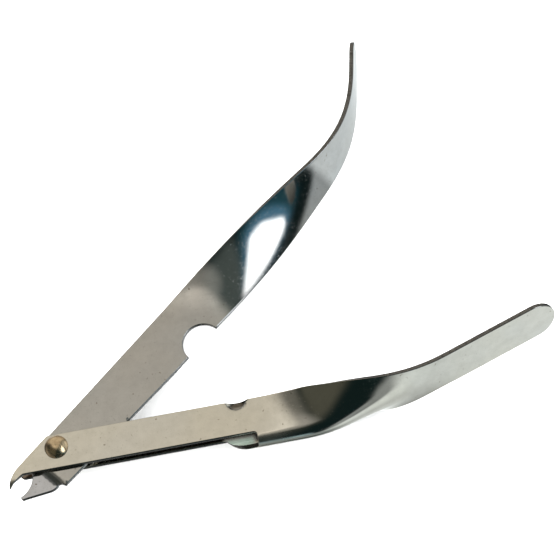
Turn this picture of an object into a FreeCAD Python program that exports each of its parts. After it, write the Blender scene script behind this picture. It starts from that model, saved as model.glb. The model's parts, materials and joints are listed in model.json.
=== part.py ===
"""Small staple extractor: two stamped sheet-steel levers crossing at one rivet.

Tool axes while building: origin on the rivet axis in the front face of the front plate, X along the
channel lever, Y in the plane of the levers towards the opening side, Z towards the rivet head.
The finished shapes are moved so that the origin is the bottom centre of the whole tool.
"""
import FreeCAD, Part
import math
import os

V = FreeCAD.Vector
Z_AXIS = V(0, 0, 1)

# ---- sheet and layer heights -------------------------------------------------------------------
SHEET = 1.0                 # thickness of both levers
CHANNEL_GAP = 1.9           # clear width between the two plates of the channel lever
BLADE_PLAY = 0.1            # gap between the front plate and the blade
BEND_R = 0.5 * CHANNEL_GAP + SHEET          # outer radius of the U-bend
MID_Z = -BEND_R                             # middle plane of the channel
REAR_IN_Z = -SHEET - CHANNEL_GAP            # inner face of the rear plate
REAR_OUT_Z = REAR_IN_Z - SHEET
BLADE_MID_Z = -SHEET - BLADE_PLAY - 0.5 * SHEET
ANVIL_MID_Z = MID_Z

# ---- channel lever -----------------------------------------------------------------------------
PLATE_TOP = 2.85
PLATE_BOTTOM = -4.6         # sheared lower edge of the plates, where the bend is cut away
BEND_LINE = -5.42           # the U-bend begins here
JAW_CORNER = -1.9           # upper corner of both noses
BEAK_ANGLE = 40.35          # slope of the outer edge of the jaw
BEAK_LENGTH = 8.6           # sloping edge, from the top corner to the shoulder of the beak
BEAK_TIP = (-10.72, -7.45)
BEAK_TIP_R = 0.2
HEEL_X = -7.6               # the beak leaves the lower edge of the plate here
NOSE_LENGTH = 8.9           # sloping edge of the rear plate
SECTION_START = 20.0        # from here on the channel is built from sections
RELIEF_END = 42.0           # the bend is cut away up to here
LEAF_START = 35.3           # the rear half of the bend fades in from here
DIMPLE_X = 38.7
DIMPLE_R = 2.2
DIMPLE_DEPTH = 1.3
DIMPLE_SHEET = 0.8          # thickness of the stretched sheet under the dimple

SPINE_TURN = 19.1           # degrees the handle turns outwards
SPINE_TURN_START = 50.1
SPINE_TURN_LENGTH = 13.2
OPEN_START = 44.2           # the U starts to open here
OPEN_LENGTH = 40.9
OPEN_EASE = 0.67            # how gently the opening begins and ends
PAD_TILT = 15.2
TAPER_START = 51.5
TAPER_LENGTH = 33.0
PAD_HALF = 4.65             # half the width of the finger pad
CHANNEL_LENGTH = 67.9       # along the spine, from the relief to the end of the pad
LOFT_STEP = 2.0
LOFT_STEPS = 22             # the U has become a flat pad after this many steps

# ---- blade lever -------------------------------------------------------------------------------
REST_ANGLE = 40.5           # blade lever against channel lever as shown
AXIS_OFFSET = -1.3          # twist axis, below the pivot
NEAR_SHARE = 0.42           # part of the width on the near side of the twist axis
BLADE_W = 11.55
BLADE_END_W = 9.3
BLADE_SECTION_START = 28.0
TWIST_START = 37.0
TWIST_LENGTH = 71.2
TWIST_ANGLE = 91.2
TWIST_POWER = 1.46
BLADE_TURN = 40.4
BLADE_TURN_START = 78.2
BLADE_TURN_LENGTH = 30.0
BLADE_LENGTH = 115.7
NOTCH_X = 36.8
NOTCH_R = 4.3
JOGGLE_FROM = -4.2
JOGGLE_TO = -5.8

# ---- rivet and spacer --------------------------------------------------------------------------
SHANK_R = 1.5
BLADE_HOLE_R = SHANK_R + 0.05
HEAD_R = 2.5
HEAD_RIM = 0.15
HEAD_H = 1.25
TAIL_R = 2.3
TAIL_H = 0.85
TAIL_BORE_R = 0.85
TAIL_BORE_DEPTH = 1.7
SPACER_R = 2.7
SPACER_H = 0.7


def smooth(u):
    """Step from 0 to 1 with level ends."""
    u = min(max(u, 0.0), 1.0)
    return u * u * (3.0 - 2.0 * u)


def walk(start, heading, distances, step=0.1):
    """Points and headings along a plane curve whose heading is a function of distance."""
    stations = []
    x, y = start
    travelled = 0.0
    for target in distances:
        count = max(1, int(round((target - travelled) / step)))
        part = (target - travelled) / count
        for _ in range(count):
            angle = heading(travelled + 0.5 * part)
            x += part * math.cos(angle)
            y += part * math.sin(angle)
            travelled += part
        stations.append((target, V(x, y, 0), heading(target)))
    return stations


def outline_face(edges, z):
    """Flat face at height z from a closed run of edges."""
    face = Part.Face(Part.Wire(edges))
    face.translate(V(0, 0, z))
    return face


def line(a, b):
    return Part.LineSegment(V(*a), V(*b)).toShape()


def arc(a, b, c):
    return Part.Arc(V(*a), V(*b), V(*c)).toShape()


def prism(points, z_low, z_high):
    """Straight prism over a polygon."""
    corners = [V(x, y, z_low) for x, y in points]
    face = Part.Face(Part.makePolygon(corners + corners[:1]))
    return face.extrude(V(0, 0, z_high - z_low))


# ---- channel lever -----------------------------------------------------------------------------
def sloping_edge(length):
    """Point on the outer edge of the jaw, this far below its top corner."""
    slope = math.radians(BEAK_ANGLE)
    return (JAW_CORNER - length * math.cos(slope), PLATE_TOP - length * math.sin(slope), 0)


def jaw_plate(jaw_edges, z_low):
    """Flat plate from the jaw to where the sections begin; `jaw_edges` run from top to bottom."""
    edges = [line((SECTION_START, PLATE_TOP, 0), (JAW_CORNER, PLATE_TOP, 0))]
    edges += jaw_edges
    edges.append(line((HEEL_X, PLATE_BOTTOM, 0), (SECTION_START, PLATE_BOTTOM, 0)))
    edges.append(line((SECTION_START, PLATE_BOTTOM, 0), (SECTION_START, PLATE_TOP, 0)))
    plate = outline_face(edges, z_low).extrude(V(0, 0, SHEET))
    return plate.cut(Part.makeCylinder(SHANK_R, SHEET, V(0, 0, z_low)))


def front_plate():
    """Front plate: its nose is drawn out into the beak."""
    shoulder = sloping_edge(BEAK_LENGTH)
    tip_x, tip_y = BEAK_TIP
    outer_tip = (tip_x - BEAK_TIP_R, tip_y + 0.1, 0)
    inner_tip = (tip_x + BEAK_TIP_R, tip_y + 0.1, 0)
    return jaw_plate([
        line((JAW_CORNER, PLATE_TOP, 0), shoulder),
        arc(shoulder, (-10.0, -4.6, 0), outer_tip),
        arc(outer_tip, (tip_x, tip_y - 0.1, 0), inner_tip),
        arc(inner_tip, (-9.45, -5.95, 0), (HEEL_X, PLATE_BOTTOM, 0)),
    ], -SHEET)


def rear_plate():
    """Rear plate: the same nose without the beak."""
    shoulder = sloping_edge(NOSE_LENGTH)
    return jaw_plate([
        line((JAW_CORNER, PLATE_TOP, 0), shoulder),
        arc(shoulder, (-8.75, -4.05, 0), (HEEL_X, PLATE_BOTTOM, 0)),
    ], REAR_OUT_Z)


def channel_heading(s):
    turned = smooth((s + RELIEF_END - SPINE_TURN_START) / SPINE_TURN_LENGTH)
    return math.radians(SPINE_TURN * turned)


def channel_section(point, heading, x_like):
    """Closed section of the channel sheet: leg, bend, leg, and back along the inside."""
    opened = min(max((x_like - OPEN_START) / OPEN_LENGTH, 0.0), 1.0)
    opened -= OPEN_EASE * math.sin(2 * math.pi * opened) / (2 * math.pi)
    half_turn = 0.5 * math.pi * (1.0 - opened)
    tilt = math.radians(PAD_TILT) * opened
    bend_half = 0.5 * math.pi * BEND_R
    full_half = bend_half + PLATE_TOP - BEND_LINE
    half = full_half + (PAD_HALF - full_half) * smooth((x_like - TAPER_START) / TAPER_LENGTH)
    across = V(-math.sin(heading), math.cos(heading), 0)
    origin = point + V(0, 0, MID_Z)

    def place(along, side, inset):
        """Point on the sheet, `along` mm from the spine towards one side, `inset` mm inside."""
        if half_turn < 1e-3:
            rise, out, angle = 0.0, along, 0.0
        else:
            radius = bend_half / half_turn
            angle = min(along, bend_half) / radius
            leg = max(along - bend_half, 0.0)
            rise = radius * (1 - math.cos(angle)) + leg * math.sin(angle)
            out = radius * math.sin(angle) + leg * math.cos(angle)
        rise += inset * math.cos(angle)
        out -= inset * math.sin(angle)
        up = rise * math.cos(tilt) + side * out * math.sin(tilt)
        toward = side * out * math.cos(tilt) - rise * math.sin(tilt)
        return origin + across * up + Z_AXIS * toward

    def bend(side_from, inset):
        a = place(bend_half, side_from, inset)
        b = place(bend_half, -side_from, inset)
        if half_turn < 1e-3:
            return Part.LineSegment(a, b).toShape()
        return Part.Arc(a, place(0.0, 1, inset), b).toShape()

    corners = [
        place(half, 1, 0.0),
        place(bend_half, 1, 0.0),
        place(bend_half, -1, 0.0),
        place(half, -1, 0.0),
        place(half, -1, SHEET),
        place(bend_half, -1, SHEET),
        place(bend_half, 1, SHEET),
        place(half, 1, SHEET),
    ]
    edges = [
        Part.LineSegment(corners[0], corners[1]).toShape(),
        bend(1, 0.0),
        Part.LineSegment(corners[2], corners[3]).toShape(),
        Part.LineSegment(corners[3], corners[4]).toShape(),
        Part.LineSegment(corners[4], corners[5]).toShape(),
        bend(-1, SHEET),
        Part.LineSegment(corners[6], corners[7]).toShape(),
        Part.LineSegment(corners[7], corners[0]).toShape(),
    ]
    return Part.Wire(edges)


def rounded_end(end_point, heading, normal, half, depth):
    """Everything beyond a full-round end of a pad, to be cut away."""
    along = V(math.cos(heading), math.sin(heading), 0)
    side = normal.cross(along)
    centre = end_point - along * half
    block = Part.makeBox(3 * half, 6 * half, 2 * depth, V(0, -3 * half, -depth))
    block = block.cut(Part.makeCylinder(half, 4 * depth, V(0, 0, -2 * depth)))
    frame = FreeCAD.Matrix(
        along.x, side.x, normal.x, centre.x,
        along.y, side.y, normal.y, centre.y,
        along.z, side.z, normal.z, centre.z,
        0, 0, 0, 1,
    )
    block.Placement = FreeCAD.Placement(frame)
    return block


def make_channel_lever():
    start = V(RELIEF_END, BEND_LINE - BEND_R, 0)
    steps = [LOFT_STEP * (k + 1) for k in range(LOFT_STEPS)]
    stations = [(0.0, start, 0.0)] + walk((start.x, start.y), channel_heading, steps)
    wires = [channel_section(p, h, RELIEF_END + s) for s, p, h in stations]
    straight = Part.Face(wires[0]).extrude(V(SECTION_START - RELIEF_END, 0, 0))
    opening = Part.makeLoft(wires, True, False)

    s, pad_start, heading = stations[-1]
    along = V(math.cos(heading), math.sin(heading), 0)
    across = V(-math.sin(heading), math.cos(heading), 0)
    tilt = math.radians(PAD_TILT)
    pad_normal = across * math.cos(tilt) - Z_AXIS * math.sin(tilt)
    pad_length = CHANNEL_LENGTH - s
    pad = Part.Face(wires[-1]).extrude(along * pad_length)
    pad_end = pad_start + along * pad_length + V(0, 0, MID_Z)
    pad = pad.cut(rounded_end(pad_end, heading, pad_normal, PAD_HALF, 4.0))

    low = BEND_LINE - 2 * BEND_R
    open_front = prism(
        [(SECTION_START - 1, PLATE_BOTTOM), (SECTION_START - 1, low), (RELIEF_END, low),
         (RELIEF_END, PLATE_BOTTOM)], MID_Z, 1.0)
    open_rear = prism(
        [(SECTION_START - 1, PLATE_BOTTOM), (SECTION_START - 1, low), (RELIEF_END - 0.6, low),
         (RELIEF_END - 0.6, BEND_LINE - BEND_R), (LEAF_START, PLATE_BOTTOM)],
        REAR_OUT_Z - 1.0, MID_Z)
    straight = straight.cut([open_front, open_rear])

    lever = opening.fuse([straight, pad, front_plate(), rear_plate()])

    ball_r = (DIMPLE_R ** 2 + DIMPLE_DEPTH ** 2) / (2 * DIMPLE_DEPTH)
    ball_z = ball_r - DIMPLE_DEPTH
    centre = V(DIMPLE_X, PLATE_TOP, ball_z)
    below_top = Part.makeBox(20, 10, 10, V(DIMPLE_X - 10, PLATE_TOP - 10, -10.5))
    bump = Part.makeSphere(ball_r + DIMPLE_SHEET, centre).common(below_top)
    lever = lever.fuse(bump).cut(Part.makeSphere(ball_r, centre))
    return lever.removeSplitter()


# ---- blade lever -------------------------------------------------------------------------------
def blade_flat():
    """Flat part with the pressing tip; the tip is joggled back to the middle of the channel."""
    near = AXIS_OFFSET + NEAR_SHARE * BLADE_W
    far = near - BLADE_W
    end = BLADE_SECTION_START
    edges = [
        line((end, near, 0), (0.5, near, 0)),
        arc((0.5, near, 0), (-4.9, 2.4, 0), (-8.0, -0.1, 0)),
        arc((-8.0, -0.1, 0), (-10.6, -1.25, 0), (-12.4, -1.1, 0)),
        arc((-12.4, -1.1, 0), (-12.8, -1.55, 0), (-12.3, -2.1, 0)),
        line((-12.3, -2.1, 0), (-7.7, -5.15, 0)),
        arc((-7.7, -5.15, 0), (-6.9, -5.5, 0), (-5.9, -5.6, 0)),
        arc((-5.9, -5.6, 0), (-5.3, -5.6, 0), (-4.95, -6.0, 0)),
        line((-4.95, -6.0, 0), (-4.65, -6.85, 0)),
        line((-4.65, -6.85, 0), (end, far, 0)),
        line((end, far, 0), (end, near, 0)),
    ]
    tall = outline_face(edges, -8.0).extrude(V(0, 0, 10.0))
    half = 0.5 * SHEET
    top = BLADE_MID_Z + half
    low = ANVIL_MID_Z + half
    rim = [(end, top), (JOGGLE_FROM, top), (JOGGLE_TO, low), (-20.0, low)]
    rim += [(x, z - SHEET) for x, z in reversed(rim)]
    corners = [V(x, -20, z) for x, z in rim]
    slab = Part.Face(Part.makePolygon(corners + corners[:1])).extrude(V(0, 40, 0))
    return tall.common(slab)


def blade_heading(s):
    return math.radians(BLADE_TURN) * smooth((s - BLADE_TURN_START) / BLADE_TURN_LENGTH)


def blade_twist(s):
    u = min(max((s - TWIST_START) / TWIST_LENGTH, 0.0), 1.0)
    return math.radians(TWIST_ANGLE) * math.sin(0.5 * math.pi * u) ** TWIST_POWER


def blade_width(s):
    share = smooth((s - TWIST_START) / (BLADE_LENGTH - TWIST_START))
    return BLADE_W + (BLADE_END_W - BLADE_W) * share


def blade_axes(s, heading):
    """Directions from the near to the far edge, and out of the front face."""
    twist = blade_twist(s)
    across = V(math.sin(heading), -math.cos(heading), 0)
    to_far = across * math.cos(twist) - Z_AXIS * math.sin(twist)
    out = across * math.sin(twist) + Z_AXIS * math.cos(twist)
    return to_far, out


def blade_section(s, point, heading):
    to_far, out = blade_axes(s, heading)
    width = blade_width(s)
    centre = point + V(0, 0, BLADE_MID_Z)
    near = centre - to_far * (NEAR_SHARE * width)
    far = near + to_far * width
    half = out * (0.5 * SHEET)
    return Part.makePolygon([near + half, far + half, far - half, near - half, near + half])


def make_blade_lever():
    straight = [BLADE_SECTION_START + k for k in (0.0, 3.0, 6.0, 8.0)]
    working = [2.5 * k for k in range(15, 46)]
    stations = [(s, V(s, AXIS_OFFSET, 0), 0.0) for s in straight]
    for s, p, h in walk((0.0, AXIS_OFFSET), blade_heading, working + [BLADE_LENGTH]):
        stations.append((s, p, h))
    handle = Part.makeLoft([blade_section(*st) for st in stations], True, False)

    s, end, heading = stations[-1]
    to_far, out = blade_axes(s, heading)
    half = 0.5 * BLADE_END_W
    middle = end + V(0, 0, BLADE_MID_Z) + to_far * ((0.5 - NEAR_SHARE) * BLADE_END_W)
    handle = handle.cut(rounded_end(middle, heading, out, half, 4.0))

    lever = handle.fuse(blade_flat())
    notch_y = AXIS_OFFSET - (1 - NEAR_SHARE) * BLADE_W - 0.2
    lever = lever.cut(Part.makeCylinder(NOTCH_R, 12, V(NOTCH_X, notch_y, -8)))
    lever = lever.cut(Part.makeCylinder(BLADE_HOLE_R, 12, V(0, 0, -8)))
    lever = lever.removeSplitter()
    lever.rotate(V(0, 0, 0), Z_AXIS, REST_ANGLE)
    return lever


# ---- rivet and spacer --------------------------------------------------------------------------
def revolve(edges):
    return Part.Face(Part.Wire(edges)).revolve(V(0, 0, 0), Z_AXIS, 360)


def make_rivet():
    """Domed head in front, semi-tubular shank, tail rolled over the rear plate."""
    z_tail = REAR_OUT_Z - TAIL_H
    bore_top = z_tail + TAIL_BORE_DEPTH
    mid_r = 0.5 * (TAIL_R + TAIL_BORE_R)
    edges = [
        line((0, 0, bore_top + 0.4), (0, 0, HEAD_H)),
        arc((0, 0, HEAD_H), (0.56 * HEAD_R, 0, HEAD_RIM + 0.83 * (HEAD_H - HEAD_RIM)),
            (HEAD_R, 0, HEAD_RIM)),
        line((HEAD_R, 0, HEAD_RIM), (HEAD_R, 0, 0)),
        line((HEAD_R, 0, 0), (SHANK_R, 0, 0)),
        line((SHANK_R, 0, 0), (SHANK_R, 0, REAR_OUT_Z)),
        line((SHANK_R, 0, REAR_OUT_Z), (TAIL_R, 0, REAR_OUT_Z)),
        arc((TAIL_R, 0, REAR_OUT_Z), (mid_r + 0.2, 0, z_tail), (TAIL_BORE_R, 0, z_tail + 0.45)),
        line((TAIL_BORE_R, 0, z_tail + 0.45), (TAIL_BORE_R, 0, bore_top)),
        line((TAIL_BORE_R, 0, bore_top), (0, 0, bore_top + 0.4)),
    ]
    return revolve(edges)


def make_spacer():
    ring = Part.makeCylinder(SPACER_R, SPACER_H, V(0, 0, REAR_IN_Z))
    return ring.cut(Part.makeCylinder(SHANK_R, SPACER_H, V(0, 0, REAR_IN_Z)))


def main():
    shapes = {
        "channel_lever": make_channel_lever(),
        "blade_lever": make_blade_lever(),
        "pivot_rivet": make_rivet(),
        "pivot_spacer": make_spacer(),
    }
    box = Part.makeCompound(list(shapes.values())).optimalBoundingBox(True, False)
    shift = V(-0.5 * (box.XMin + box.XMax), -0.5 * (box.YMin + box.YMax), -box.ZMin)
    os.makedirs("parts", exist_ok=True)
    for node, shape in shapes.items():
        shape.translate(shift)
        shape.exportStep("parts/" + node + ".step")
        print(node, "valid", shape.isValid(), "solids", len(shape.Solids), "faces", len(shape.Faces),
              "volume %.1f mm3" % shape.Volume)
    print("pivot axis at %.4f %.4f, front face of the front plate at %.4f" % tuple(shift))
    print("size %.2f x %.2f x %.2f" % (box.XLength, box.YLength, box.ZLength))


main()
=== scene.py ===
"""Staple extractor: two stamped steel levers on one rivet, on a pale studio floor."""

import json
import math

import bpy
import numpy as np
from mathutils import Matrix, Vector, geometry


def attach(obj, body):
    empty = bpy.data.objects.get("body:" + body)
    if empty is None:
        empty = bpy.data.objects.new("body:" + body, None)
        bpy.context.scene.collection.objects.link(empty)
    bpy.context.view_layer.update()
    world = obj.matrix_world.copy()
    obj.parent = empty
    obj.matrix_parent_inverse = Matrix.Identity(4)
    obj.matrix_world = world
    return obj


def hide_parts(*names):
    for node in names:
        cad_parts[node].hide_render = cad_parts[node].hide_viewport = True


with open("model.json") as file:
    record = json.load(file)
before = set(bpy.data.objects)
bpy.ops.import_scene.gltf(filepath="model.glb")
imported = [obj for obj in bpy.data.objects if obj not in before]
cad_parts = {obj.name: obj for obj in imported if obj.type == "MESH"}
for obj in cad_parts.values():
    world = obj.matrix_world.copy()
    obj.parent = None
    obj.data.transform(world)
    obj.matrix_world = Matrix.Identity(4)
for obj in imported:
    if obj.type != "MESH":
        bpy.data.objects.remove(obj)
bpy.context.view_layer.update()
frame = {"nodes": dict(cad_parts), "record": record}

MM = 0.001

# ---- sizes of the sheet metal, in millimetres and degrees, in the tool's own axes ---------------
# The axes start on the rivet's axis, level with the outer face of the front plate. X runs along the
# channel towards its handle, Y across the front plate away from the bend, Z up from the floor.
SHEET = 1.0
BEND_R = 1.95
MID_Z = -BEND_R
RIM_R = 0.17            # rounding along every cut edge
RIM_BAND = 0.06         # flat strip between the rounding and the inner mesh
RIM_STEPS = 4
FACE_STRIPS = 3         # strips along a rim that keep the face's material
MITRE_LIMIT = 0.6       # keeps the inner corner of a sharp point from running away
FLAT_TURN = 1e-3        # half turn of the bend, in radians, below which the sheet is flat
MERGE = 1e-6
MESH_SPACING = 0.7
ROW_SHARE = 0.866       # height of an equilateral triangle over its side
UV_PER_MM = 0.01

# channel lever: two plates joined by a round bend, opened out into one flat finger pad
PLATE_TOP = 2.85
PLATE_BOTTOM = -4.6     # lower edge of both plates left of the relief slot's end
BEND_LINE = -5.42       # where the plates run into the bend
JAW_CORNER = -1.9
HEEL_X = -7.6
RELIEF_END = 42.0
RELIEF_ROUND, RELIEF_ROUND_MIDDLE = 0.7, 0.2
LEAF_START = 35.3
DIMPLE_X = 38.7
DIMPLE_R = 2.2
DIMPLE_DEPTH = 1.3
DIMPLE_WALL = 0.8       # growth of the dimple's radius through the sheet
DIMPLE_RINGS = (0.4, 0.8, 1.2, 1.5, 1.8, 2.0, 2.15, 2.3, 2.5, 2.8)
SPINE_TURN, SPINE_TURN_START, SPINE_TURN_LENGTH = 19.1, 50.1, 13.2
OPEN_START, OPEN_LENGTH, OPEN_EASE = 44.2, 40.9, 0.67
PAD_TILT = 15.2
TAPER_START, TAPER_LENGTH = 51.5, 33.0
PAD_HALF = 4.65
CHANNEL_LENGTH = 67.9

# blade lever: one flat sheet that twists about a line beside the rivet, then curves
REST_ANGLE = 40.5
AXIS_OFFSET = -1.3      # height of the twist axis on the blank, with the rivet at zero
NEAR_SHARE = 0.42       # share of the width above the twist axis
BLADE_MID_Z = -1.6
BLADE_W, BLADE_END_W = 11.55, 9.3
TWIST_START, TWIST_LENGTH, TWIST_ANGLE, TWIST_POWER = 37.0, 71.2, 91.2, 1.46
BLADE_TURN, BLADE_TURN_START, BLADE_TURN_LENGTH = 40.4, 78.2, 30.0
BLADE_LENGTH = 115.7
NOTCH_X, NOTCH_R, NOTCH_LIP = 36.8, 4.3, 0.2
NEAR_EDGE_START, FAR_EDGE_START = 0.5, 28.0
JOGGLE_FROM, JOGGLE_TO, JOGGLE_DROP = -4.2, -5.8, 0.35

# rivet holes
SHANK_R = 1.5
HOLE_GAP = 0.05         # clearance in the blade, which turns on the rivet

PIVOT = Vector(frame["record"]["behaviour"]["joints"][0]["pos_m"])
ORIGIN = PIVOT - Vector((0.0, 0.0, MID_Z * MM))


def smooth(u):
    """Ease from 0 to 1 as u goes from 0 to 1, and hold the ends."""
    u = min(max(u, 0.0), 1.0)
    return u * u * (3.0 - 2.0 * u)


class Curve:
    """Plane curve given by its heading as a function of distance along it."""

    def __init__(self, start, heading, length, step=0.25):
        self.heading = heading
        self.step = step
        count = int(length / step) + 2
        x, y = start
        self.points = [(x, y)]
        for k in range(count):
            angle = heading((k + 0.5) * step)
            x += step * math.cos(angle)
            y += step * math.sin(angle)
            self.points.append((x, y))

    def at(self, s):
        """Position and heading at a distance, with a straight run before the start."""
        if s <= 0.0:
            x, y = self.points[0]
            return x + s, y, 0.0
        k = min(int(s / self.step), len(self.points) - 2)
        share = s / self.step - k
        (xa, ya), (xb, yb) = self.points[k], self.points[k + 1]
        return xa + share * (xb - xa), ya + share * (yb - ya), self.heading(s)


# ---- where a point of the flat blank ends up once the sheet is formed ---------------------------
def channel_heading(s):
    """Heading of the spine at a distance beyond the relief slot."""
    turned = smooth((s + RELIEF_END - SPINE_TURN_START) / SPINE_TURN_LENGTH)
    return math.radians(SPINE_TURN * turned)


channel_curve = Curve((RELIEF_END, BEND_LINE - BEND_R), channel_heading, CHANNEL_LENGTH)
BEND_HALF = 0.5 * math.pi * BEND_R
FULL_HALF = BEND_HALF + PLATE_TOP - BEND_LINE


def channel_half(x):
    """Half width of the channel's blank at a distance x along the spine."""
    return FULL_HALF + (PAD_HALF - FULL_HALF) * smooth((x - TAPER_START) / TAPER_LENGTH)


def channel_point(x, w, h):
    """Where a point of the channel's blank ends up.

    x runs along the spine, w across from it (positive towards the front plate), h above mid-sheet.
    """
    opened = min(max((x - OPEN_START) / OPEN_LENGTH, 0.0), 1.0)
    opened -= OPEN_EASE * math.sin(2 * math.pi * opened) / (2 * math.pi)
    half_turn = 0.5 * math.pi * (1.0 - opened)
    tilt = math.radians(PAD_TILT) * opened
    side = 1.0 if w >= 0.0 else -1.0
    along = abs(w)
    inset = 0.5 * SHEET - h
    if half_turn < FLAT_TURN:
        rise, out, angle = 0.0, along, 0.0
    else:
        radius = BEND_HALF / half_turn
        angle = min(along, BEND_HALF) / radius
        leg = max(along - BEND_HALF, 0.0)
        rise = radius * (1 - math.cos(angle)) + leg * math.sin(angle)
        out = radius * math.sin(angle) + leg * math.cos(angle)
    if side > 0.0:
        far = math.hypot(x - DIMPLE_X, w - FULL_HALF)
        ball = (DIMPLE_R ** 2 + DIMPLE_DEPTH ** 2) / (2 * DIMPLE_DEPTH)
        outer = ball + DIMPLE_WALL * min(max(inset, 0.0), SHEET)
        if far < outer:
            inset = max(inset, math.sqrt(outer ** 2 - far ** 2) - (ball - DIMPLE_DEPTH))
    rise += inset * math.cos(angle)
    out -= inset * math.sin(angle)
    up = rise * math.cos(tilt) + side * out * math.sin(tilt)
    toward = side * out * math.cos(tilt) - rise * math.sin(tilt)
    px, py, heading = channel_curve.at(x - RELIEF_END)
    return Vector((px - up * math.sin(heading), py + up * math.cos(heading), MID_Z + toward))


def blade_heading(s):
    """Heading of the twist axis at a distance from the rivet."""
    return math.radians(BLADE_TURN) * smooth((s - BLADE_TURN_START) / BLADE_TURN_LENGTH)


blade_curve = Curve((0.0, AXIS_OFFSET), blade_heading, BLADE_LENGTH)


def blade_width(s):
    share = smooth((s - TWIST_START) / (BLADE_LENGTH - TWIST_START))
    return BLADE_W + (BLADE_END_W - BLADE_W) * share


def blade_near(s):
    return AXIS_OFFSET + NEAR_SHARE * blade_width(s)


def blade_far(s):
    return blade_near(s) - blade_width(s)


def blade_point(x, y, h):
    """Where a point of the blade's blank ends up, turned to the rest angle.

    x runs along the twist axis, y across the blank, h above mid-sheet.
    """
    u = min(max((x - TWIST_START) / TWIST_LENGTH, 0.0), 1.0)
    twist = math.radians(TWIST_ANGLE) * math.sin(0.5 * math.pi * u) ** TWIST_POWER
    px, py, heading = blade_curve.at(x)
    v = AXIS_OFFSET - y
    level = v * math.cos(twist) + h * math.sin(twist)
    z = BLADE_MID_Z - v * math.sin(twist) + h * math.cos(twist)
    z -= JOGGLE_DROP * min(max((JOGGLE_FROM - x) / (JOGGLE_FROM - JOGGLE_TO), 0.0), 1.0) ** 2
    px += level * math.sin(heading)
    py -= level * math.cos(heading)
    turn = math.radians(REST_ANGLE)
    return Vector((px * math.cos(turn) - py * math.sin(turn),
                   px * math.sin(turn) + py * math.cos(turn), z))


# ---- outlines of the two flat blanks ------------------------------------------------------------
def run(a, b, step=0.6):
    """Points from a towards b, without b."""
    count = max(1, int(math.hypot(b[0] - a[0], b[1] - a[1]) / step))
    return [(a[0] + (b[0] - a[0]) * k / count, a[1] + (b[1] - a[1]) * k / count)
            for k in range(count)]


def bow(a, m, b, step=0.25):
    """Points on the circle through a, m and b, from a to b, without b."""
    d = 2 * (a[0] * (m[1] - b[1]) + m[0] * (b[1] - a[1]) + b[0] * (a[1] - m[1]))
    a2, m2, b2 = (p[0] ** 2 + p[1] ** 2 for p in (a, m, b))
    cx = (a2 * (m[1] - b[1]) + m2 * (b[1] - a[1]) + b2 * (a[1] - m[1])) / d
    cy = (a2 * (b[0] - m[0]) + m2 * (a[0] - b[0]) + b2 * (m[0] - a[0])) / d
    radius = math.hypot(a[0] - cx, a[1] - cy)
    first, middle, last = (math.atan2(p[1] - cy, p[0] - cx) for p in (a, m, b))
    sweep = (last - first) % (2 * math.pi)
    if (middle - first) % (2 * math.pi) > sweep:
        sweep -= 2 * math.pi
    count = max(4, int(abs(sweep) * radius / step))
    return [(cx + radius * math.cos(first + sweep * k / count),
             cy + radius * math.sin(first + sweep * k / count)) for k in range(count)]


def ring(x, y, radius, count=40):
    """Points round a circle."""
    return [(x + radius * math.cos(2 * math.pi * k / count),
             y + radius * math.sin(2 * math.pi * k / count)) for k in range(count)]


def across(y):
    """Distance from the spine, round the bend, of a point at height y on a plate."""
    return BEND_HALF + y - BEND_LINE


def nose(side, points):
    """Jaw end of one plate, from its top corner to its heel, as (x, distance from the spine)."""
    return [(x, side * across(y)) for x, y in points]


def front_nose():
    shoulder = (-8.45, -2.72)
    beak_middle = (-10.0, -4.6)
    beak_front = (-10.92, -7.35)
    beak_point = (-10.72, -7.55)
    beak_back = (-10.52, -7.35)
    beak_hollow = (-9.45, -5.95)
    heel = (HEEL_X, PLATE_BOTTOM)
    points = run((JAW_CORNER, PLATE_TOP), shoulder)
    points += bow(shoulder, beak_middle, beak_front)
    points += bow(beak_front, beak_point, beak_back, 0.08)
    points += bow(beak_back, beak_hollow, heel)
    return nose(1, points)


def rear_nose():
    shoulder = (-8.68, -2.91)
    chin = (-8.75, -4.05)
    heel = (HEEL_X, PLATE_BOTTOM)
    points = run((JAW_CORNER, PLATE_TOP), shoulder)
    points += bow(shoulder, chin, heel)
    return nose(-1, points + [heel])


def edge(x_from, x_to, law, step=0.5):
    """Points along a blank's edge, whose distance from the axis is law(x), without the last."""
    count = max(1, int(abs(x_to - x_from) / step))
    xs = [x_from + (x_to - x_from) * k / count for k in range(count)]
    return [(x, law(x)) for x in xs]


def channel_outline():
    end = RELIEF_END + CHANNEL_LENGTH
    pad = end - PAD_HALF
    points = edge(pad, JAW_CORNER, channel_half)
    points += front_nose()
    # relief slot: along the front plate, round its end, and back over the leaf to the rear plate
    cut = across(PLATE_BOTTOM)
    slot_top = (RELIEF_END - RELIEF_ROUND, cut)
    slot_turn = (RELIEF_END - RELIEF_ROUND_MIDDLE, cut - RELIEF_ROUND_MIDDLE)
    slot_end = (RELIEF_END, cut - RELIEF_ROUND)
    slot_low = (RELIEF_END, 0.7)
    leaf_corner = (RELIEF_END - 0.3, 0.1)
    leaf_back = (RELIEF_END - 0.9, -0.2)
    leaf_middle = (RELIEF_END - 3.2, -1.2)
    leaf_start = (LEAF_START, -cut)
    points += run((HEEL_X, cut), slot_top)
    points += bow(slot_top, slot_turn, slot_end, 0.15)
    points += run(slot_end, slot_low, 0.3)
    points += bow(slot_low, leaf_corner, leaf_back, 0.15)
    points += bow(leaf_back, leaf_middle, leaf_start, 0.4)
    rear = rear_nose()
    points += run(leaf_start, rear[-1])
    points += rear[::-1][:-1]
    points += edge(JAW_CORNER, pad, lambda x: -channel_half(x))
    points += bow((pad, -PAD_HALF), (end, 0.0), (pad, PAD_HALF), 0.35)
    return points


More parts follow.
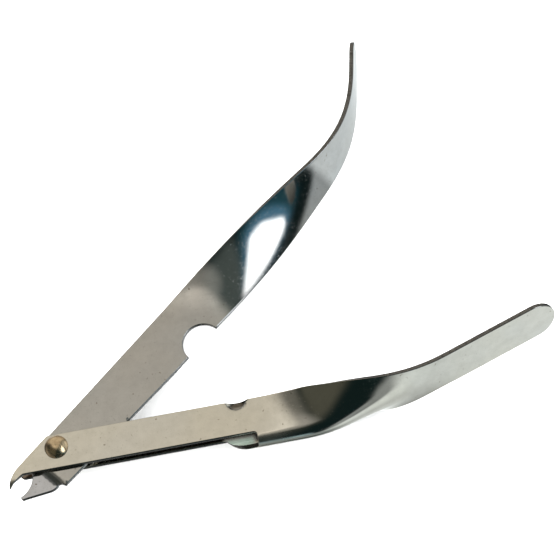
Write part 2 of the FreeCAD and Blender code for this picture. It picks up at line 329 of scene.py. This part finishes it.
def blade_outline():
    half = 0.5 * BLADE_END_W
    pad = BLADE_LENGTH - half
    middle = blade_near(BLADE_LENGTH) - half
    points = edge(NEAR_EDGE_START, pad, blade_near)
    points += bow((pad, middle + half), (BLADE_LENGTH, middle), (pad, middle - half), 0.35)
    # half-round notch in the far edge
    notch_y = AXIS_OFFSET - (1 - NEAR_SHARE) * BLADE_W - NOTCH_LIP
    reach = math.sqrt(NOTCH_R ** 2 - NOTCH_LIP ** 2)
    notch_front = (NOTCH_X + reach, notch_y + NOTCH_LIP)
    notch_back = (NOTCH_X - reach, notch_y + NOTCH_LIP)
    points += edge(pad, NOTCH_X + reach, blade_far)
    points += bow(notch_front, (NOTCH_X, notch_y + NOTCH_R), notch_back)
    # far edge to the step behind the pressing tip, then round the tip to the near edge
    far_corner = (FAR_EDGE_START, blade_far(FAR_EDGE_START))
    step_corner = (-4.65, -6.85)
    step_foot = (-4.95, -6.0)
    step_round = (-5.3, -5.6)
    step_end = (-5.9, -5.6)
    heel_round = (-6.9, -5.5)
    heel_end = (-7.7, -5.15)
    lip_low = (-12.3, -2.1)
    lip_end = (-12.8, -1.55)
    lip_high = (-12.4, -1.1)
    hollow = (-10.6, -1.25)
    hollow_end = (-8.0, -0.1)
    shoulder = (-4.9, 2.4)
    near_corner = (NEAR_EDGE_START, blade_near(NEAR_EDGE_START))
    points += run(notch_back, far_corner)
    points += run(far_corner, step_corner)
    points += run(step_corner, step_foot, 0.3)
    points += bow(step_foot, step_round, step_end, 0.2)
    points += bow(step_end, heel_round, heel_end, 0.3)
    points += run(heel_end, lip_low)
    points += bow(lip_low, lip_end, lip_high, 0.15)
    points += bow(lip_high, hollow, hollow_end)
    points += bow(hollow_end, shoulder, near_corner, 0.4)
    return points


# ---- formed sheet with rolled rims --------------------------------------------------------------
def inset_loop(loop, distance):
    """The loop moved to its left by a distance, corner by corner."""
    p = np.array(loop)
    step = np.roll(p, -1, axis=0) - p
    step /= np.hypot(step[:, 0], step[:, 1])[:, None]
    normal = np.stack([-step[:, 1], step[:, 0]], axis=1)
    before = np.roll(normal, 1, axis=0)
    both = normal + before
    both /= np.hypot(both[:, 0], both[:, 1])[:, None]
    reach = np.maximum((both * normal).sum(axis=1), MITRE_LIMIT)
    return [tuple(q) for q in p + both * (distance / reach)[:, None]]


def area(loop):
    """Signed area of a closed loop, positive anticlockwise."""
    p = np.array(loop)
    q = np.roll(p, -1, axis=0)
    return 0.5 * (p[:, 0] * q[:, 1] - q[:, 0] * p[:, 1]).sum()


def inside(points, loops):
    """Even-odd test of many points against closed loops."""
    pts = np.array(points)
    hit = np.zeros(len(pts), dtype=bool)
    for loop in loops:
        a = np.array(loop)
        b = np.roll(a, -1, axis=0)
        for (xa, ya), (xb, yb) in zip(a, b):
            if ya == yb:
                continue
            crosses = (pts[:, 1] > min(ya, yb)) & (pts[:, 1] <= max(ya, yb))
            x = xa + (pts[:, 1] - ya) * (xb - xa) / (yb - ya)
            hit ^= crosses & (x > pts[:, 0])
    return hit


def fill(loops, spacing, extra):
    """Vertices and triangles that fill the outer loop less the holes."""
    corners = [p for loop in loops for p in loop]
    edges = []
    start = 0
    for loop in loops:
        n = len(loop)
        edges += [(start + k, start + (k + 1) % n) for k in range(n)]
        start += n
    box = np.array(loops[0])
    low, high = box.min(axis=0), box.max(axis=0)
    grid = []
    row = 0
    y = low[1]
    while y < high[1]:
        x = low[0] + (0.5 * spacing if row % 2 else 0.0)
        while x < high[0]:
            grid.append((x, y))
            x += spacing
        y += spacing * ROW_SHARE
        row += 1
    grid += extra
    keep = inside(grid, loops)
    grid = np.array(grid)[keep]
    rim = np.array(corners)
    clear = np.array([np.hypot(rim[:, 0] - gx, rim[:, 1] - gy).min() > 0.5 * spacing
                      for gx, gy in grid])
    grid = [tuple(g) for g in grid[clear]]
    points = [Vector(p) for p in corners + grid]
    verts, _, faces, source, _, _ = geometry.delaunay_2d_cdt(points, edges, [], 0, MERGE)
    verts = [tuple(v) for v in verts]
    centres = [tuple(np.mean([verts[i] for i in f], axis=0)) for f in faces]
    kept = inside(centres, loops)
    faces = [tuple(f) for f, k in zip(faces, kept) if k]
    origin = [s[0] if s else -1 for s in source]
    return verts, faces, origin


def formed_sheet(name, loops, place, spacing, extra=()):
    """Sheet metal piece: `loops` outline the blank, `place` bends it into shape.

    Its faces have material 0 and its cut edges material 1. The "blank" coordinates keep each
    point's place on the flat blank, so that a material can mark a spot on the formed sheet.
    """
    if area(loops[0]) < 0:
        loops[0] = loops[0][::-1]
    for k in range(1, len(loops)):
        if area(loops[k]) > 0:
            loops[k] = loops[k][::-1]
    half = 0.5 * SHEET
    profile = []
    for k in range(RIM_STEPS + 1):
        angle = 0.5 * math.pi * k / RIM_STEPS
        profile.append((RIM_R * (1 - math.cos(angle)), half - RIM_R + RIM_R * math.sin(angle)))
    verts, faces, flat, kinds = [], [], [], []
    fill_loops = [inset_loop(loop, RIM_R + RIM_BAND) for loop in loops]
    plane, triangles, source = fill(fill_loops, spacing, list(extra))
    sides = {}
    for sign in (1, -1):
        base = len(verts)
        sides[sign] = base
        for x, y in plane:
            verts.append(place(x, y, sign * half))
            flat.append((x, y))
        for tri in triangles:
            corners = [base + i for i in tri]
            faces.append(corners if sign > 0 else corners[::-1])
            kinds.append(0)
    lookup = {s: i for i, s in enumerate(source) if s >= 0}
    start = 0
    for loop in loops:
        n = len(loop)
        rings = []
        for sign in (1, -1):
            rows = [[sides[sign] + lookup[start + k] for k in range(n)]]
            for inset, height in reversed(profile):
                base = len(verts)
                for x, y in inset_loop(loop, inset):
                    verts.append(place(x, y, sign * height))
                    flat.append((x, y))
                rows.append([base + k for k in range(n)])
            rings.append(rows)
        strip = rings[0] + rings[1][::-1]
        for level, (upper, lower) in enumerate(zip(strip, strip[1:])):
            for k in range(n):
                j = (k + 1) % n
                faces.append([upper[j], upper[k], lower[k], lower[j]])
                kinds.append(1 if FACE_STRIPS <= level < len(strip) - 1 - FACE_STRIPS else 0)
        start += n
    mesh = bpy.data.meshes.new(name)
    mesh.from_pydata([v * MM + ORIGIN for v in verts], [], faces)
    mesh.polygons.foreach_set("material_index", kinds)
    mesh.validate()
    layer = mesh.uv_layers.new(name="blank")
    for loop_item in mesh.loops:
        x, y = flat[loop_item.vertex_index]
        layer.data[loop_item.index].uv = (UV_PER_MM * x, UV_PER_MM * y)
    mesh.shade_smooth()
    piece = bpy.data.objects.new(name, mesh)
    bpy.context.scene.collection.objects.link(piece)
    return piece


def dimple_points():
    """Extra mesh points on half rings round the dimple, so that its wall is smooth."""
    points = []
    margin = 0.05
    for radius in DIMPLE_RINGS:
        count = int(6 + 9 * radius)
        for angle in np.linspace(margin, math.pi - margin, count):
            down = abs(radius * math.sin(angle))
            points.append((DIMPLE_X + radius * math.cos(angle), FULL_HALF - down))
    return points


channel_loops = [channel_outline(), ring(0, across(0), SHANK_R), ring(0, -across(0), SHANK_R)]
channel = formed_sheet("channel_sheet", channel_loops, channel_point, MESH_SPACING, dimple_points())
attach(channel, "channel")
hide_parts("channel_lever")

blade_loops = [blade_outline(), ring(0, 0, SHANK_R + HOLE_GAP)]
blade = formed_sheet("blade_sheet", blade_loops, blade_point, MESH_SPACING)
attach(blade, "blade")
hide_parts("blade_lever")


# ---- materials ----------------------------------------------------------------------------------
def new_material(name):
    mat = bpy.data.materials.new(name)
    mat.use_nodes = True
    return mat, mat.node_tree.nodes, mat.node_tree.links, mat.node_tree.nodes["Principled BSDF"]


class Graph:
    """Short ways to add the nodes of one metal. Noise scales are per metre."""

    def __init__(self, name):
        self.mat, self.nodes, self.links, self.shader = new_material(name)
        self.shader.inputs["Metallic"].default_value = 1.0
        self.coord = self.nodes.new("ShaderNodeTexCoord").outputs["Object"]

    def noise(self, scale, detail, stretch=None, turn=0.0, rough=0.5):
        source = self.coord
        if stretch:
            mapping = self.nodes.new("ShaderNodeMapping")
            mapping.inputs["Rotation"].default_value = (0.0, 0.0, turn)
            mapping.inputs["Scale"].default_value = stretch
            self.links.new(source, mapping.inputs["Vector"])
            source = mapping.outputs["Vector"]
        node = self.nodes.new("ShaderNodeTexNoise")
        node.inputs["Scale"].default_value = scale
        node.inputs["Detail"].default_value = detail
        node.inputs["Roughness"].default_value = rough
        self.links.new(source, node.inputs["Vector"])
        return node.outputs["Fac"]

    def level(self, value, low, high, out_low=0.0, out_high=1.0):
        """Map low..high to out_low..out_high, and hold the ends."""
        node = self.nodes.new("ShaderNodeMapRange")
        node.inputs["From Min"].default_value = low
        node.inputs["From Max"].default_value = high
        node.inputs["To Min"].default_value = out_low
        node.inputs["To Max"].default_value = out_high
        self.links.new(value, node.inputs["Value"])
        return node.outputs["Result"]

    def maths(self, operation, *values):
        node = self.nodes.new("ShaderNodeMath")
        node.operation = operation
        for k, value in enumerate(values):
            if isinstance(value, float):
                node.inputs[k].default_value = value
            else:
                self.links.new(value, node.inputs[k])
        return node.outputs["Value"]

    def mix(self, share, first, second):
        node = self.nodes.new("ShaderNodeMix")
        node.data_type = "RGBA"
        self.links.new(share, node.inputs[0])
        for socket, value in ((node.inputs[6], first), (node.inputs[7], second)):
            if isinstance(value, tuple):
                socket.default_value = (*value, 1.0)
            else:
                self.links.new(value, socket)
        return node.outputs[2]

    def bump(self, height, strength, distance, under=None):
        node = self.nodes.new("ShaderNodeBump")
        node.inputs["Strength"].default_value = strength
        node.inputs["Distance"].default_value = distance
        self.links.new(height, node.inputs["Height"])
        if under:
            self.links.new(under, node.inputs["Normal"])
        return node.outputs["Normal"]

    def split(self, vector):
        node = self.nodes.new("ShaderNodeSeparateXYZ")
        self.links.new(vector, node.inputs["Vector"])
        return node.outputs

    def paint(self, colour, rough, normal):
        self.links.new(colour, self.shader.inputs["Base Color"])
        self.links.new(rough, self.shader.inputs["Roughness"])
        self.links.new(normal, self.shader.inputs["Normal"])


SPECK = (0.20, 0.15, 0.10)
CLOUD_DEPTH, CLOUD_SHADE = 0.28, 0.62
SPECK_ROUGH, DULL_ROUGH, GRAIN_ROUGH, BEND_ROUGH = 0.25, 0.25, 0.04, 0.2
BEND_WEAR_FADE = (46.0, 54.0)


def steel(name, warm, cool, rough_low, rough_high, along, patches, bend=None):
    """Tumbled stainless sheet: cloudy colour, brown specks, fine random scratches and small pits.

    A patch is a tint, how dull it is, and its middle and half size along and across the blank.
    `bend` is the half width of the stretched, rougher band along the spine near the slot.
    """
    g = Graph(name)
    drift = g.level(g.noise(45.0, 2.0), 0.35, 0.65)
    clouds = g.level(g.noise(420.0, 5.0, rough=0.6), 0.3, 0.7)
    grain = g.noise(1500.0, 3.0, (0.06, 1.0, 1.0), along)
    cross = g.noise(1300.0, 3.0, (0.05, 1.0, 1.0), along + 1.1)
    specks = g.level(g.noise(1150.0, 2.0), 0.70, 0.76, 0.0, 0.6)
    pits = g.level(g.noise(3000.0, 1.5), 0.70, 0.77)
    blank = g.nodes.new("ShaderNodeUVMap")
    blank.uv_map = "blank"
    place = g.split(blank.outputs["UV"])

    colour = g.mix(drift, warm, cool)
    dulled = []
    # besides the tint of the tip, the patches paint shade and a reflection into the colour
    for tint, dull, along_blank, across_blank in patches:
        share = None
        for socket, (middle, half) in (("X", along_blank), ("Y", across_blank)):
            away = g.maths("ABSOLUTE", g.maths("SUBTRACT", place[socket], UV_PER_MM * middle))
            near = g.level(away, UV_PER_MM * (half + 0.5), UV_PER_MM * (half - 0.5))
            share = near if share is None else g.maths("MULTIPLY", share, near)
        colour = g.mix(share, colour, tint)
        if dull:
            dulled.append(g.maths("MULTIPLY", share, dull))
    shade = tuple(CLOUD_SHADE * c for c in warm)
    colour = g.mix(g.level(clouds, 0.0, 1.0, CLOUD_DEPTH, 0.0), colour, shade)
    colour = g.mix(specks, colour, SPECK)

    rough = g.level(clouds, 0.0, 1.0, rough_high, rough_low)
    rough = g.maths("ADD", rough, g.level(grain, 0.4, 0.75, 0.0, GRAIN_ROUGH))
    rough = g.maths("ADD", rough, g.maths("MULTIPLY", specks, SPECK_ROUGH))
    for dull in dulled:
        rough = g.maths("ADD", rough, g.maths("MULTIPLY", dull, DULL_ROUGH))
        g.links.new(g.maths("SUBTRACT", 1.0, dull), g.shader.inputs["Metallic"])
    if bend:
        from_spine = g.maths("ABSOLUTE", place["Y"])
        outside, inside_bend = UV_PER_MM * (bend + 0.3), UV_PER_MM * (bend - 0.6)
        stretched = g.level(from_spine, outside, inside_bend, 0.0, BEND_ROUGH)
        fade_start, fade_end = BEND_WEAR_FADE
        near_slot = g.level(place["X"], UV_PER_MM * fade_end, UV_PER_MM * fade_start)
        rough = g.maths("ADD", rough, g.maths("MULTIPLY", stretched, near_slot))

    height = g.maths("ADD", g.maths("MULTIPLY", grain, 0.5), g.maths("MULTIPLY", cross, 0.35))
    scratched = g.bump(height, 0.12, 0.02 * MM)
    g.paint(colour, rough, g.bump(pits, 0.3, 0.03 * MM, scratched))
    return g.mat


def sheared(name, light, dark):
    """Cut edge of the sheet: darker and rougher than its faces, with marks through the thickness."""
    g = Graph(name)
    marks = g.noise(2600.0, 3.0, (1.0, 1.0, 0.12))
    colour = g.mix(g.level(marks, 0.35, 0.65), dark, light)
    g.paint(colour, g.level(marks, 0.3, 0.7, 0.34, 0.22), g.bump(marks, 0.25, 0.02 * MM))
    return g.mat


def plated(name, light, dark, shade_and_grime, rough_low, rough_high):
    """Small turned part: worn, slightly tarnished coat; painted shade and grime darken its sides."""
    g = Graph(name)
    tarnish = g.level(g.noise(700.0, 5.0, rough=0.6), 0.32, 0.68)
    normal = g.split(g.coord.node.outputs["Normal"])
    # painted shade with some grime: darker where the surface turns to the side
    side = g.level(g.maths("ABSOLUTE", normal["Z"]), 0.85, 0.35, 0.0, 0.85)
    colour = g.mix(side, g.mix(tarnish, dark, light), shade_and_grime)
    rough = g.level(tarnish, 0.0, 1.0, rough_high, rough_low)
    g.paint(colour, rough, g.bump(g.noise(3000.0, 3.0), 0.2, 0.02 * MM))
    return g.mat


# painted shade: darkens the rear plate's nose, which lies in shadow behind the front plate
REAR_NOSE_PAINTED_SHADE = ((0.16, 0.11, 0.09), 0.0, (-9.0, 3.0), (-8.0, 4.5))
# painted shade in the hollow of the pressed dimple
DIMPLE_PAINTED_SHADE = ((0.11, 0.09, 0.07), 0.0, (DIMPLE_X, 1.7), (FULL_HALF, 1.45))
# painted reflection: a pale green, less metallic patch standing in for light bounced onto the leaf
# inside the channel
LEAF_PAINTED_REFLECTION = ((0.36, 0.45, 0.38), 0.42, (38.0, 3.2), (-2.0, 2.1))
TIP_POLISH = ((0.66, 0.67, 0.72), 0.0, (-10.5, 5.5), (0.0, 20.0))
CHANNEL_PATCHES = [REAR_NOSE_PAINTED_SHADE, DIMPLE_PAINTED_SHADE, LEAF_PAINTED_REFLECTION]

channel_steel = steel("tumbled_steel_channel", (0.83, 0.785, 0.685), (0.80, 0.775, 0.72),
                      0.07, 0.115, 0.0, CHANNEL_PATCHES, BEND_HALF)
blade_steel = steel("tumbled_steel_blade", (0.585, 0.565, 0.535), (0.555, 0.56, 0.56),
                    0.055, 0.10, -math.radians(REST_ANGLE), [TIP_POLISH])
edge_steel = sheared("sheared_edge", (0.25, 0.24, 0.23), (0.11, 0.105, 0.10))
# third colour: painted shade with some grime down the sides of the rivet and the spacer
rivet_metal = plated("rivet_bronze", (0.92, 0.72, 0.47), (0.62, 0.45, 0.27), (0.20, 0.14, 0.09),
                     0.22, 0.34)
spacer_metal = plated("spacer_steel", (0.52, 0.52, 0.51), (0.38, 0.37, 0.35), (0.30, 0.29, 0.28),
                      0.3, 0.42)
for piece, face_steel in ((channel, channel_steel), (blade, blade_steel)):
    piece.data.materials.append(face_steel)
    piece.data.materials.append(edge_steel)
for node, metal in (("pivot_rivet", rivet_metal), ("pivot_spacer", spacer_metal)):
    for slot in frame["nodes"][node].material_slots:
        slot.material = metal

# ---- floor, light and camera --------------------------------------------------------------------
FLOOR_SIZE, FLOOR_DROP = 6.0, 0.0002
SOFTBOX_SIZE, SOFTBOX_DISTANCE = (1.6, 1.4), 1.4
SOFTBOXES = (("key", 75, 75, 34.0), ("left", 170, 45, 22.0), ("front", 265, 45, 22.0),
             ("right", -10, 45, 22.0))

bpy.ops.mesh.primitive_plane_add(size=FLOOR_SIZE, location=(0, 0, -FLOOR_DROP))
floor = bpy.context.object
floor.name = "floor"
floor.visible_glossy = False
floor_white, _, _, floor_shader = new_material("floor_white")
floor_shader.inputs["Base Color"].default_value = (0.86, 0.86, 0.86, 1)
floor_shader.inputs["Roughness"].default_value = 0.8
floor.data.materials.append(floor_white)


def sky(azimuth, elevation):
    """Direction in the studio, in degrees from +X towards +Y and up from the floor."""
    a, e = math.radians(azimuth), math.radians(elevation)
    return Vector((math.cos(e) * math.cos(a), math.cos(e) * math.sin(a), math.sin(e)))


def outline(softness, *corners):
    """Soft-edged panel in the sky, from the directions of its corners."""
    loop = [sky(*c) for c in corners]
    middle = sum(loop, Vector())
    sides = []
    for k, corner in enumerate(loop):
        normal = corner.cross(loop[(k + 1) % len(loop)]).normalized()
        if normal.dot(middle) < 0:
            normal.negate()
        sides.append((normal, 0.0, softness))
    return sides


def studio(base, panels):
    """Dim room with glowing panels: colour, strength, and the sides that bound each panel.

    A side is a normal, an offset and a softness. The panel lies where a direction's dot product
    with the normal is more than the offset.
    """
    world = bpy.data.worlds.new("studio")
    bpy.context.scene.world = world
    world.use_nodes = True
    nodes, links = world.node_tree.nodes, world.node_tree.links
    coord = nodes.new("ShaderNodeTexCoord")

    def blend(kind, operation, first, second):
        node = nodes.new(kind)
        node.operation = operation
        links.new(first, node.inputs[0])
        links.new(second, node.inputs[1])
        return node.outputs[0]

    total = None
    for colour, strength, sides in panels:
        share = None
        for normal, offset, softness in sides:
            dot = nodes.new("ShaderNodeVectorMath")
            dot.operation = "DOT_PRODUCT"
            dot.inputs[1].default_value = normal
            links.new(coord.outputs["Generated"], dot.inputs[0])
            step = nodes.new("ShaderNodeMapRange")
            step.interpolation_type = "SMOOTHSTEP"
            step.inputs["From Min"].default_value = offset - softness
            step.inputs["From Max"].default_value = offset + softness
            links.new(dot.outputs["Value"], step.inputs["Value"])
            side = step.outputs["Result"]
            share = side if share is None else blend("ShaderNodeMath", "MULTIPLY", share, side)
        glow = nodes.new("ShaderNodeVectorMath")
        glow.operation = "SCALE"
        glow.inputs[0].default_value = [c * strength for c in colour]
        links.new(share, glow.inputs["Scale"])
        lit = glow.outputs["Vector"]
        total = lit if total is None else blend("ShaderNodeVectorMath", "ADD", total, lit)
    room = nodes.new("ShaderNodeVectorMath")
    room.inputs[1].default_value = base
    links.new(total, room.inputs[0])
    links.new(room.outputs["Vector"], nodes["Background"].inputs["Color"])


WHITE = (1.0, 1.0, 1.0)
TABLE_WHITE = (0.94, 1.0, 1.01)
WALL_CREAM = (1.0, 0.98, 0.94)
DARK_TEAL = (0.006, 0.014, 0.014)
DOWN = Vector((0.0, 0.0, -1.0))
TABLE_EDGE, TABLE_OFFSET = Vector((-0.393, -0.3, -1.0)), 0.293
TABLE_CORNER = Vector((0.336, 0.795, -0.505))

studio(DARK_TEAL, [
    # tall window to the right, with a blue glow round it on a deep teal wall
    (WHITE, 2.6,
     outline(0.045, (32, 58), (0, 45), (-18, 26), (-26, 15), (-33, 13), (-43, 31), (-40, 46))),
    ((0.28, 0.62, 1.0), 0.28,
     outline(0.09, (26, 58), (0, 44), (-23, 16), (-32, 5), (-44, 12), (-51, 27), (-46, 48))),
    ((0.16, 0.75, 1.0), 0.085,
     outline(0.10, (32, 58), (-6, 39), (-26, 6), (-37, -11), (-49, -2), (-56, 27), (-52, 55),
             (-25, 62))),
    # grey ceiling
    ((0.85, 1.0, 0.93), 0.10,
     outline(0.10, (65, 57), (32, 57), (-29, 59), (-57, 56), (-58, 87), (83, 76))),
    # broad warm panel behind, which the flat plates mirror, fading to the left and overhead
    ((1.0, 0.94, 0.83), 0.57,
     outline(0.08, (144, 62), (131, 78), (80, 88), (58, 76), (38, 60), (40, -12), (90, -14),
             (142, -12))),
    ((1.0, 0.93, 0.80), 0.14,
     outline(0.12, (150, 46), (113, 63), (23, 88), (-170, 82), (168, 66), (162, 50))),
    ((1.0, 0.96, 0.88), 0.22, [(sky(100, 84), 0.975, 0.02)]),
    # dim brown wall to the left and a cool gap low in the dark front wall
    ((1.0, 0.90, 0.66), 0.075,
     outline(0.17, (200, 85), (245, 75), (252, 25), (247, 20), (165, 20), (165, 60))),
    ((0.65, 0.92, 1.0), 0.50, outline(0.04, (257, 4), (268, 4), (269, -14), (256, -14))),
    # pale table below, dark towards the front left
    (TABLE_WHITE, 0.92, [(TABLE_EDGE, TABLE_OFFSET, 0.06), (sky(28, 0), -0.07, 0.25)]),
    (TABLE_WHITE, 0.5, [(TABLE_CORNER, 0.03, 0.05), (sky(-25, 0), 0.3, 0.2),
                        (-TABLE_EDGE, -TABLE_OFFSET, 0.1)]),
    (TABLE_WHITE, 0.30,
     outline(0.09, (-66, 22), (-65, -1), (-69, -35), (-84, -25), (-83, -8), (-78, 12))),
    ((0.90, 1.0, 0.98), 0.26, [(DOWN, 0.22, 0.12), (sky(262, 0), 0.65, 0.15)]),
    # paler walls low down to the left and right, and the table at the back
    (WALL_CREAM, 0.42,
     outline(0.12, (155, 12), (155, -12), (205, -12), (245, -12), (245, 12), (205, 14))),
    (WHITE, 0.45, outline(0.10, (-2, 14), (-2, -16), (42, -16), (42, 16))),
    (WALL_CREAM, 0.45, [(DOWN, 0.3, 0.15), (sky(160, 0), 0.1, 0.2)]),
])


def softbox(name, azimuth, elevation, power):
    """Large soft lamp that faces the tool and isn't mirrored in it."""
    light = bpy.data.lights.new(name, "AREA")
    light.shape = "RECTANGLE"
    light.size, light.size_y = SOFTBOX_SIZE
    light.energy = power
    lamp = bpy.data.objects.new(name, light)
    bpy.context.scene.collection.objects.link(lamp)
    lamp.location = sky(azimuth, elevation) * SOFTBOX_DISTANCE
    lamp.rotation_euler = (-lamp.location).to_track_quat("-Z", "Y").to_euler()
    lamp.visible_glossy = False


for name, azimuth, elevation, power in SOFTBOXES:
    softbox(name, azimuth, elevation, power)
bpy.context.scene.view_settings.view_transform = "Standard"

# the camera looks steeply down at the tool from the front, and its place is measured from the rivet
CAMERA_LENS, CAMERA_SENSOR = 136.2, 36.0
CAMERA_FROM_RIVET = Vector((85.264, -159.090, 407.839))
CAMERA_RIGHT = Vector((0.97969, -0.13895, -0.14454))
CAMERA_UP = Vector((0.18606, 0.89870, 0.39713))
camera_data = bpy.data.cameras.new("camera")
camera_data.lens = CAMERA_LENS
camera_data.sensor_width = CAMERA_SENSOR
camera = bpy.data.objects.new("camera", camera_data)
bpy.context.scene.collection.objects.link(camera)
bpy.context.scene.camera = camera
turn = Matrix((CAMERA_RIGHT, CAMERA_UP, CAMERA_RIGHT.cross(CAMERA_UP))).transposed().to_4x4()
camera.matrix_world = Matrix.Translation(ORIGIN + CAMERA_FROM_RIVET * MM) @ turn

bpy.context.view_layer.update()
